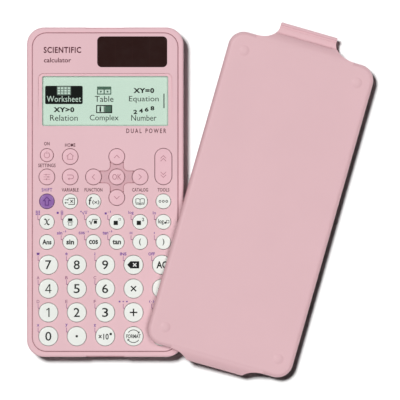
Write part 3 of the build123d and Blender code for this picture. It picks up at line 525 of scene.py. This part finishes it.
def power_sign():
    stroke = 0.3
    return line(arc_points(1.35, 115, 425, 20), stroke) + moved(bar(stroke, 1.4), 0, 1.2)


def house_sign():
    walls = [(-1.2, 0.35), (-1.2, -1.35), (1.2, -1.35), (1.2, 0.35)]
    roof = [(-1.75, 0.15), (0, 1.65), (1.75, 0.15)]
    return line(walls, 0.3) + line(roof, 0.3)


def settings_sign():
    rows = [(-0.4, 1.15), (0.55, 0), (-0.2, -1.15)]
    shapes = []
    for knob, y in rows:
        shapes += moved(bar(3.3, 0.22), 0, y)
        shapes += moved(bar(0.45, 0.8), knob, y)
    return shapes


def back_sign():
    bend = [(-1.5, 0.95), (0.7, 0.95)] + arc_points(0.95, 90, -90, 10, (0.7, 0)) + [(-0.9, -0.95)]
    head = [(-0.35, -0.45), (-0.95, -0.95), (-0.35, -1.5)]
    return line(bend, 0.32) + line(head, 0.3)


def page_signs():
    shapes = []
    for side in (1, -1):
        for step in (3.3, 4.7):
            head = chevron(1.35, 0.3, 0 if side > 0 else 180)
            shapes += moved(head, 0, side * step)
    return shapes


def shift_sign():
    points = [
        (0, 2.1), (1.7, 0.3), (0.8, 0.3), (0.8, -1.9), (-0.8, -1.9), (-0.8, 0.3), (-1.7, 0.3),
    ]
    return line(points, 0.42, closed=True)


def variable_sign():
    card = line([(-0.9, 1.5), (2.1, 1.5), (2.1, -1.5), (-0.9, -1.5)], 0.34)
    arrows = []
    for y, way in ((0.75, 1), (-0.75, -1)):
        arrows += moved(bar(1.7, 0.28), -1.7, y)
        arrows += moved(chevron(0.4, 0.28, -90 * way), -1.7 + 0.65 * way, y)
    return card + arrows + moved(text("x", 1.4, bold=0.02), 0.75, 0)


def function_sign():
    letter = moved(text("f", 3.8, 1.7, 0.012, 0.1), -1.55, 0.2)
    return letter + moved(text("(x)", 2.3, 3.5, 0.012), 1.15, -0.5)


def book_sign():
    lower_edge = [(0, -1.2), (0.6, -0.85), (1.2, -0.75), (2.1, -0.95)]
    upper_edge = [(2.1, 1.15), (1.2, 1.35), (0.6, 1.25), (0, 0.9)]
    page = lower_edge + upper_edge
    other = [(-x, y) for x, y in page]
    spine = [(0, -1.2), (0, 0.9)]
    foot = [(-2.1, -1.45), (-0.9, -1.35), (0, -1.75), (0.9, -1.35), (2.1, -1.45)]
    return [shape for path in (page, other, spine, foot) for shape in line(path, BOOK_STROKE)]


def three_rings():
    return [shape for x in (-1.65, 0, 1.65) for shape in moved(ring(0.5, 0.3), x, 0)]


def script_x():
    long_stroke = [(-1.3, 1.15), (-0.85, 1.4), (-0.4, 1.1), (0.35, -1.1), (0.8, -1.4), (1.25, -1.1)]
    short_stroke = [(1.35, 1.3), (0.9, 1.25), (-0.75, -1.2), (-1.25, -1.35)]
    return line(long_stroke, 0.55) + line(short_stroke, 0.32)


def fraction_sign():
    top = moved(bar(2.2, 1.35), 0, 1.05)
    middle = moved(bar(3.0, 0.25), 0, 0)
    return top + middle + moved(frame_box(2.0, 1.35, 0.22), 0, -1.05)


def root_sign():
    hook = [(-2.2, 0.1), (-1.75, 0.35), (-1.2, -1.15), (-0.35, 1.25), (2.1, 1.25)]
    return line(hook, 0.34) + moved(small_block(1.55), 0.95, -0.1)


def power_block():
    return moved(small_block(2.1), -0.5, -0.5) + moved(hollow_block(1.1), 1.5, 1.3)


def square_block():
    return moved(small_block(2.1), -0.6, -0.5) + moved(text("2", 1.7, 1.15, 0.02), 1.5, 1.2)


def log_sign():
    word = moved(text("log", 2.8, 2.7, 0.015), -1.2, 0)
    return word + moved(small_block(0.9), 0.9, -0.45) + moved(hollow_block(1.5), 2.15, 0.1)


def cross_sign(reach=1.25, stroke=0.62):
    rising = line([(-reach, -reach), (reach, reach)], stroke)
    return rising + line([(-reach, reach), (reach, -reach)], stroke)


def divide_sign():
    dot = bar(0.8, 0.8)
    return bar(3.6, 0.62) + moved(dot, 0, 1.35) + moved(dot, 0, -1.35)


def ten_power_sign():
    return moved(text("×10", 2.9, 5.0, 0.02), -0.75, -0.2) + moved(small_block(1.1), 2.75, 1.1)


def format_sign():
    """The word between two curved arrows."""
    shapes = text("FORMAT", 1.9, 7.1, 0.02)
    for flip in (0, 180):
        sweep = line(arc_points(3.1, 35, 145, 16), 0.34)
        head = moved(turned(chevron(0.55, 0.34, 0), -128), 2.6, 1.75)
        shapes += turned(sweep + head, flip)
    return shapes


def one_sign():
    """A 1 with a slanting flag."""
    upright = [(0.3, -DIGIT_HEIGHT / 2), (0.3, DIGIT_HEIGHT / 2)]
    flag = [(-0.95, 1.15), (0.2, 2.0)]
    return line(upright, 0.56) + line(flag, 0.46)


def four_sign():
    """A 4 with a wide open counter."""
    upright = [(0.7, -DIGIT_HEIGHT / 2), (0.7, DIGIT_HEIGHT / 2)]
    slope = [(0.55, DIGIT_HEIGHT / 2 - 0.15), (-1.35, -0.95), (1.55, -0.95)]
    return line(upright, 0.5) + line(slope, 0.46)


def delete_sign():
    return polygon([(-3.1, 0), (-1.5, 1.75), (2.8, 1.75), (2.8, -1.75), (-1.5, -1.75)])


def delete_cross():
    return moved(cross_sign(0.8, 0.5), 0.6, 0)


KEY_LEGENDS = {
    "key_on": (power_sign(), pink_ink),
    "key_home": (house_sign(), pink_ink),
    "key_up": (chevron(1.3, 0.32, 0), pink_ink),
    "key_down": (chevron(1.3, 0.32, 180), pink_ink),
    "key_left": (chevron(1.3, 0.32, 90), pink_ink),
    "key_right": (chevron(1.3, 0.32, -90), pink_ink),
    "key_ok": (text("OK", 2.8, 4.4, 0.005), pink_ink),
    "key_settings": (settings_sign(), pink_ink),
    "key_back": (back_sign(), pink_ink),
    "key_page": (page_signs(), pink_ink),
    "key_shift": (shift_sign(), deep_purple_ink),
    "key_variable": (variable_sign(), black_ink),
    "key_function": (function_sign(), black_ink),
    "key_catalog": (book_sign(), black_ink),
    "key_tools": (three_rings(), black_ink),
    "key_x": (script_x(), black_ink),
    "key_fraction": (fraction_sign(), black_ink),
    "key_root": (root_sign(), black_ink),
    "key_power": (power_block(), black_ink),
    "key_square": (square_block(), black_ink),
    "key_log": (log_sign(), black_ink),
    "key_ans": (text("Ans", WORD_HEIGHT, 4.5, 0.035), black_ink),
    "key_sin": (text("sin", WORD_HEIGHT, 3.8, 0.035), black_ink),
    "key_cos": (text("cos", WORD_HEIGHT * 0.85, 4.4, 0.03), black_ink),
    "key_tan": (text("tan", WORD_HEIGHT * 0.95, 4.2, 0.03), black_ink),
    "key_open_bracket": (text("(", 3.3, 0.95, 0.02), black_ink),
    "key_close_bracket": (text(")", 3.3, 0.95, 0.02), black_ink),
    "key_delete": (delete_sign(), black_ink),
    "key_clear": (text("AC", 3.6, 5.4, 0.03), black_ink),
    "key_multiply": (cross_sign(), black_ink),
    "key_divide": (divide_sign(), black_ink),
    "key_plus": (bar(3.7, 0.65) + bar(0.65, 3.7), black_ink),
    "key_minus": (bar(3.7, 0.65), black_ink),
    "key_point": (rounded_box(1.15, 1.15, 0.4), black_ink),
    "key_exponent": (ten_power_sign(), black_ink),
    "key_format": (format_sign(), black_ink),
    "key_enter": (text("EXE", 2.5, 5.4, 0.03), black_ink),
}
for digit in "02356789":
    KEY_LEGENDS["key_" + digit] = (text(digit, DIGIT_HEIGHT, DIGIT_WIDTH, 0.008), black_ink)
KEY_LEGENDS["key_1"] = (one_sign(), black_ink)
KEY_LEGENDS["key_4"] = (four_sign(), black_ink)


def print_key_legends():
    for key, (shapes, ink) in KEY_LEGENDS.items():
        lay_print("legend_" + key[4:], shapes, middle_of(key), key, key + "_body", ink)
    lay_print(
        "legend_delete_cross", delete_cross(), middle_of("key_delete"), "key_delete",
        "key_delete_body", white_ink, thickness=0.06,
    )


# ------------------------------------------------------------------ printing on the case, and painted shadow strips in its groove and ditch
LABEL_RISE = 5.65           # words above a key's centre
WORD_CAP = 1.75


def label(name, words, width, key, rise=LABEL_RISE, ink=None, height=WORD_CAP):
    """A word printed on the case above a key."""
    shapes = moved(text(words, height, width, 0.014, gap=1.08), 0, rise)
    lay_print(name, shapes, middle_of(key), "front_housing", "calculator", ink or maroon_ink)


def case_word(name, words, height, width, x, y, bold=0.0, gap=1.0):
    """A word printed on the case at a place of its own."""
    shapes = text(words, height, width, bold, 0.0, gap)
    lay_print(name, shapes, Vector((x * MM, y * MM, 0)), "front_housing", "calculator", maroon_ink)


def print_words():
    label("word_on", "ON", 2.7, "key_on")
    label("word_home", "HOME", 5.1, "key_home")
    label("word_settings", "SETTINGS", 8.5, "key_settings")
    label("word_shift", "SHIFT", 5.2, "key_shift", ink=purple_ink)
    label("word_variable", "VARIABLE", 8.3, "key_variable")
    label("word_function", "FUNCTION", 8.8, "key_function")
    label("word_catalog", "CATALOG", 7.8, "key_catalog")
    label("word_tools", "TOOLS", 5.8, "key_tools")
    window_low, window_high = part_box("display_window")
    solar_low, solar_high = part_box("solar_panel")
    left = window_low.x / MM + 2.2
    solar_y = (solar_low.y + solar_high.y) / 2 / MM
    case_word("word_scientific", "SCIENTIFIC", 3.0, 18.4, left + 9.2, solar_y + 0.9, 0.024, 1.12)
    case_word("word_calculator", "calculator", 2.3, 13.4, left + 6.8, solar_y - 4.1, 0.012)
    right = window_high.x / MM - 2.4
    case_word("word_dual_power", "DUAL POWER", 2.25, 19.6, right - 9.8, window_low.y / MM - 0.9, 0.014, 1.5)


RIM_GROOVE_OUT = 2.625      # from the case's side to the middle of the groove round the face
FACE_CORNER = 6.975
DITCH_BAR = 6.2             # height of the cross's level arm
DITCH_COLUMN = 6.8          # width of its upright arm
DITCH_CORNER = 2.2
KEY_HOLE = 4.1              # radius of the holes that the arrow keys stand in
SHADOW_STRIP = 0.3
SHADOW_THICKNESS = 0.02
STRIP_INSET = 0.2           # the strip's middle lies this far inside the ditch's edge
STRIP_END_GAP = 0.1         # it stops this far short of a key's hole


def print_rim_groove():
    """The painted shadow in the groove round the key face, as a dark strip on its floor."""
    low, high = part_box("front_housing")
    middle = (low + high) / 2
    width = (high.x - low.x) / MM - 2 * RIM_GROOVE_OUT
    height = (high.y - low.y) / MM - 2 * RIM_GROOVE_OUT
    points = rounded_box(width, height, FACE_CORNER)[0][0]
    strip = line(points, SHADOW_STRIP, closed=True)
    lay_print(
        "groove_shadow", strip, middle, "front_housing", "calculator", groove_painted_shadow,
        thickness=SHADOW_THICKNESS,
    )


def print_ditch_edges():
    """The painted shadow along the four inner corners of the sunk cross between the arrow keys, as dark
    strips on its floor.
    """
    middle = middle_of("key_ok")
    key_low, key_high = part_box("key_right")
    arm = (key_low.x + key_high.x) / 2 / MM - middle.x / MM
    bar_edge = DITCH_BAR / 2 - STRIP_INSET
    column_edge = DITCH_COLUMN / 2 - STRIP_INSET
    centre = (DITCH_COLUMN / 2 + DITCH_CORNER, DITCH_BAR / 2 + DITCH_CORNER)
    bend = arc_points(DITCH_CORNER + STRIP_INSET, 270, 180, 8, centre)
    start = arm - math.sqrt(KEY_HOLE ** 2 - bar_edge ** 2) - STRIP_END_GAP
    for right in (-1, 1):
        for key in ("key_up", "key_down"):
            low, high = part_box(key)
            column = ((low.y + high.y) / 2 - middle.y) / MM
            up = math.copysign(1, column)
            end = abs(column) - math.sqrt(KEY_HOLE ** 2 - column_edge ** 2) - STRIP_END_GAP
            path = [(start, bar_edge)] + bend + [(column_edge, end)]
            path = [(right * x, up * y) for x, y in path]
            name = "ditch_edge_" + key[4:] + ("_right" if right > 0 else "_left")
            strip = line(path, SHADOW_STRIP)
            lay_print(
                name, strip, middle, "front_housing", "calculator", ditch_painted_shadow,
                thickness=SHADOW_THICKNESS,
            )


def raised(words, height, width, power="-1", power_width=1.5):
    """A word with a small superscript after it."""
    shapes = moved(text(words, height, width, 0.02), -power_width / 2, 0)
    return shapes + moved(text(power, height * 0.62, power_width, 0.02), width / 2 + 0.35, height * 0.5)


def dot_grid():
    dots = [moved(bar(0.55, 0.55), x, y) for x in (-0.75, 0.75) for y in (-0.8, 0, 0.8)]
    return [shape for dot in dots for shape in dot] + bar(0.35, 2.1)


def mixed_fraction():
    tall = moved(frame_box(1.1, 0.8, 0.2), 1.0, 0.65) + moved(frame_box(1.1, 0.8, 0.2), 1.0, -0.65)
    return moved(small_block(1.0), -1.1, 0) + tall + moved(bar(1.4, 0.2), 1.0, 0)


def nth_root():
    hook = [(-0.9, 0.1), (-0.6, 0.2), (-0.25, -0.8), (0.3, 0.8), (1.8, 0.8)]
    blocks = moved(small_block(0.6), -1.4, 0.65) + moved(frame_box(0.8, 0.8, 0.2), 1.1, -0.1)
    return line(hook, 0.22) + blocks


def inverse_sign():
    return moved(small_block(1.0), -1.0, -0.3) + moved(text("-1", 1.0, 1.5, 0.02), 0.7, 0.55)


def three_marks():
    marks = ((-1.8, 0.8), (0, 0.6), (1.8, 0.7))
    return [shape for x, size in marks for shape in moved(bar(size, size), x, 0)]


SECOND_CAP = 1.55
LARGE_KEY_RADIUS = 5        # keys wider than this have their sign further out
LARGE_KEY_SIGN = (-5.05, 5.35)
SMALL_KEY_SIGN = (-4.45, 4.45)
LEADER_STROKE = 0.26
LETTER_KEYS = "123456"      # their second sign is a letter, in another ink

SHIFT_SIGNS = {
    "key_x": (dot_grid(), 0),
    "key_fraction": (mixed_fraction(), -0.6),
    "key_root": (nth_root(), -0.3),
    "key_power": (inverse_sign(), 0),
    "key_square": (text("log", SECOND_CAP * 1.25, 2.6, 0.01), 0),
    "key_log": (text("ln", SECOND_CAP, 1.5, 0.01), 0),
    "key_sin": (raised("sin", SECOND_CAP, 2.6), 0),
    "key_cos": (raised("cos", SECOND_CAP * 0.85, 3.0), -0.6),
    "key_tan": (raised("tan", SECOND_CAP, 2.8), -0.4),
    "key_open_bracket": (moved(bar(1.6, 0.25), 0, 0.35) + moved(bar(1.6, 0.25), 0, -0.35), 0),
    "key_close_bracket": (bar(0.35, 0.8), 0),
    "key_7": (text("π", 1.3, 1.5, 0.02), 0),
    "key_8": (text("e", 1.3, 1.1, 0.02), 0),
    "key_9": (text("i", 1.5, 0.4, 0.01), 0),
    "key_delete": (text("INS", SECOND_CAP, 3.2, 0.03), 0),
    "key_clear": (text("OFF", SECOND_CAP, 3.2, 0.03), 0),
    "key_4": (text("A", SECOND_CAP, 1.3, 0.01), 0),
    "key_5": (text("B", SECOND_CAP, 1.2, 0.01), 0),
    "key_6": (text("C", SECOND_CAP, 1.3, 0.01), 0),
    "key_1": (text("D", SECOND_CAP, 1.3, 0.01), 0),
    "key_2": (text("E", SECOND_CAP, 1.1, 0.01), 0),
    "key_3": (text("F", SECOND_CAP, 1.1, 0.01), 0),
    "key_plus": (three_marks(), 0),
    "key_minus": (text("(-)", SECOND_CAP, 2.4, 0.01), 0),
    "key_0": (text("x", 1.15, 1.2, 0.02), 0),
    "key_point": (text("y", 1.6, 1.2, 0.02), 0),
    "key_exponent": (text("z", 1.15, 1.1, 0.02), 0),
}


def print_shift_signs():
    """Second signs, above and left of their keys, each with a thin line leading to its key."""
    for key, (shapes, aside) in SHIFT_SIGNS.items():
        low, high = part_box(key)
        radius = (high.x - low.x) / 2 / MM
        left, up = LARGE_KEY_SIGN if radius > LARGE_KEY_RADIUS else SMALL_KEY_SIGN
        lead = line([(left, up - 1.1), (left, up - 3.2), (left + 0.8, up - 3.4)], LEADER_STROKE)
        mark = moved(shapes, left + aside, up)
        ink = alpha_ink if key[4:] in list(LETTER_KEYS) else purple_ink
        lay_print("second_" + key[4:], mark, middle_of(key), "front_housing", "calculator", ink)
        lay_print("leader_" + key[4:], lead, middle_of(key), "front_housing", "calculator", leader_ink)


# ------------------------------------------------------------------ what the display shows
LCD_CAP = 2.9
MENU_COLUMNS = (-20.3, -0.5, 19.0)
FIRST_LAYER = 0.006         # how far paler shapes lie above the dark ones under them
SECOND_LAYER = 0.012


def lcd_sign(name, shapes, x, y, ink=None, lift=0.0):
    """Segments of the LCD, placed from the middle of its window."""
    low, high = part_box("display_window")
    centre = Vector(((low.x + high.x) / 2, (low.y + high.y) / 2, 0))
    lay_print(
        name, moved(shapes, x, y), centre, "lcd_panel", "calculator", ink or lcd_ink,
        thickness=0.015 + lift, sunk=0.005, longest=4.0,
    )


def sheet_icon():
    cells = []
    for row in range(3):
        for column in range(4):
            cells += moved(bar(1.15, 0.85), -2.5 + 1.65 * column, 1.3 - 1.25 * row)
    return cells


def table_cells():
    return moved(bar(2.7, 1.9), -1.65, -0.5) + moved(bar(2.7, 1.9), 1.65, -0.5)


def table_values():
    return moved(bar(0.8, 0.9), -1.65, -0.5) + moved(bar(0.8, 0.9), 1.65, -0.5)


def complex_icon():
    return frame_box(7.9, 4.0, 0.5) + bar(0.4, 3.6) + moved(text("i", 2.7, 0.9, 0.04), -1.9, 0)


def digits_icon():
    shapes = []
    for step, digit in enumerate("2468"):
        shapes += moved(text(digit, 2.1, 1.9, 0.04), -4.2 + 2.8 * step, -0.9 + 0.6 * step)
    return shapes


def show_menu():
    left, middle, right = MENU_COLUMNS
    lcd_sign("menu_cursor", rounded_box(18.5, 9.0, 0.7), left, 3.05)
    lcd_sign("menu_icon_sheet", rounded_box(6.9, 4.4, 0.3), left, 5.15, lcd_grey, FIRST_LAYER)
    lcd_sign("menu_icon_cells", sheet_icon(), left, 5.1, lcd_pale, SECOND_LAYER)
    lcd_sign("menu_word_sheet", text("Worksheet", LCD_CAP, 16.8, gap=1.05), left, 1.1, lcd_pale, FIRST_LAYER)
    lcd_sign("menu_icon_table", bar(7.0, 4.0), middle, 5.2, lcd_shade)
    lcd_sign("menu_icon_table_cells", table_cells(), middle, 5.2, lcd_pale, FIRST_LAYER)
    lcd_sign("menu_icon_table_values", table_values(), middle, 5.2, lcd_shade, SECOND_LAYER)
    lcd_sign("menu_word_table", text("Table", LCD_CAP, 9.2), middle, 1.1)
    lcd_sign("menu_icon_equation", text("XY=0", 2.5, 10.2, 0.045, gap=1.15), right, 5.2)
    lcd_sign("menu_word_equation", text("Equation", LCD_CAP * 1.2, 14.6), right, 0.8)
    lcd_sign("menu_icon_relation", text("XY>0", 2.5, 10.2, 0.045, gap=1.15), left, -4.2)
    lcd_sign("menu_word_relation", text("Relation", LCD_CAP, 13.6), left, -8.2)
    lcd_sign("menu_icon_complex", complex_icon(), middle, -3.9)
    half = moved(bar(3.2, 3.0), 1.95, 0)
    lcd_sign("menu_icon_complex_half", half, middle, -3.9, lcd_shade)
    lcd_sign("menu_word_complex", text("Complex", LCD_CAP * 1.25, 14.2), middle, -8.5)
    lcd_sign("menu_icon_digits", digits_icon(), right, -4.4)
    lcd_sign("menu_word_number", text("Number", LCD_CAP, 12.4), right, -8.2)
    lcd_sign("menu_scroll_bar", bar(0.5, 7.1), 28.9, 0.1)


# ------------------------------------------------------------------ stage, light and camera
VIEW_CENTRE = Vector((0.04662, -0.00385, 0.005))
VIEW_WIDTH = 0.1968
LENS = 800.0
SENSOR = 36.0
FLOOR_REACH = 4.0
FLOOR_DROP = 0.00002        # keeps the floor clear of the flat back
SKY_LIGHT = 0.03
SHADOW_LIGHT = 5.7
SHADOW_SPREAD = 14
SHADOW_TOWARD = (0.36, -0.34, -1.0)
KEY_LIGHT = 0.5
KEY_SPREAD = 10
KEY_TOWARD = (0.30, -0.26, -1.0)
SOFT_LIGHT = 0.66
SOFT_SPREAD = 20
SOFT_LEAN = 0.5
SOFT_COUNT = 4


def make_floor():
    reach = FLOOR_REACH
    mesh = bpy.data.meshes.new("floor")
    corners = [(-reach, -reach, 0), (reach, -reach, 0), (reach, reach, 0), (-reach, reach, 0)]
    mesh.from_pydata(corners, [], [(0, 1, 2, 3)])
    floor = bpy.data.objects.new("floor", mesh)
    floor.location.z = -FLOOR_DROP
    bpy.context.scene.collection.objects.link(floor)
    material, tree, shader = blank_material("floor_white")
    tint = blend_colours(tree, noise(tree, 60.0), FLOOR_GREY, FLOOR_GREY_LIGHT)
    tree.links.new(tint, shader.inputs["Base Color"])
    shader.inputs["Roughness"].default_value = 0.9
    shader.inputs["Specular IOR Level"].default_value = 0.1
    mesh.materials.append(material)
    return floor


def add_sun(name, strength, spread, toward, receivers):
    """A distant light that falls only on the objects in one collection."""
    light = bpy.data.lights.new(name, "SUN")
    light.energy = strength
    light.angle = math.radians(spread)
    lamp = bpy.data.objects.new(name, light)
    lamp.rotation_euler = Vector(toward).to_track_quat("-Z", "Y").to_euler()
    bpy.context.scene.collection.objects.link(lamp)
    lamp.light_linking.receiver_collection = receivers


def light_the_scene(floor):
    """Soft light from all round on the object, and a slanting one that draws its shadow."""
    world = bpy.data.worlds.new("studio")
    bpy.context.scene.world = world
    world.use_nodes = True
    sky = world.node_tree.nodes["Background"]
    sky.inputs["Color"].default_value = (1, 1, 1, 1)
    sky.inputs["Strength"].default_value = SKY_LIGHT
    ground = bpy.data.collections.new("lit_floor")
    ground.objects.link(floor)
    product = bpy.data.collections.new("lit_product")
    for item in bpy.context.scene.objects:
        if item.type == "MESH" and item != floor:
            product.objects.link(item)
    add_sun("shadow_light", SHADOW_LIGHT, SHADOW_SPREAD, SHADOW_TOWARD, ground)
    add_sun("key_light", KEY_LIGHT, KEY_SPREAD, KEY_TOWARD, product)
    for step in range(SOFT_COUNT):
        angle = math.radians(45 + 360 / SOFT_COUNT * step)
        toward = (SOFT_LEAN * math.cos(angle), SOFT_LEAN * math.sin(angle), -1.0)
        add_sun("soft_light_" + str(step), SOFT_LIGHT, SOFT_SPREAD, toward, product)


def aim_camera():
    camera = bpy.data.objects.new("camera", bpy.data.cameras.new("camera"))
    camera.data.lens = LENS
    camera.data.sensor_width = SENSOR
    camera.data.clip_end = 10
    distance = VIEW_WIDTH * LENS / SENSOR
    camera.location = VIEW_CENTRE + Vector((0, 0, distance))
    bpy.context.scene.collection.objects.link(camera)
    bpy.context.scene.camera = camera


dress_cad_nodes()
print_key_legends()
print_words()
print_shift_signs()
print_rim_groove()
print_ditch_edges()
show_menu()
light_the_scene(make_floor())
aim_camera()
bpy.context.scene.view_settings.view_transform = "Standard"
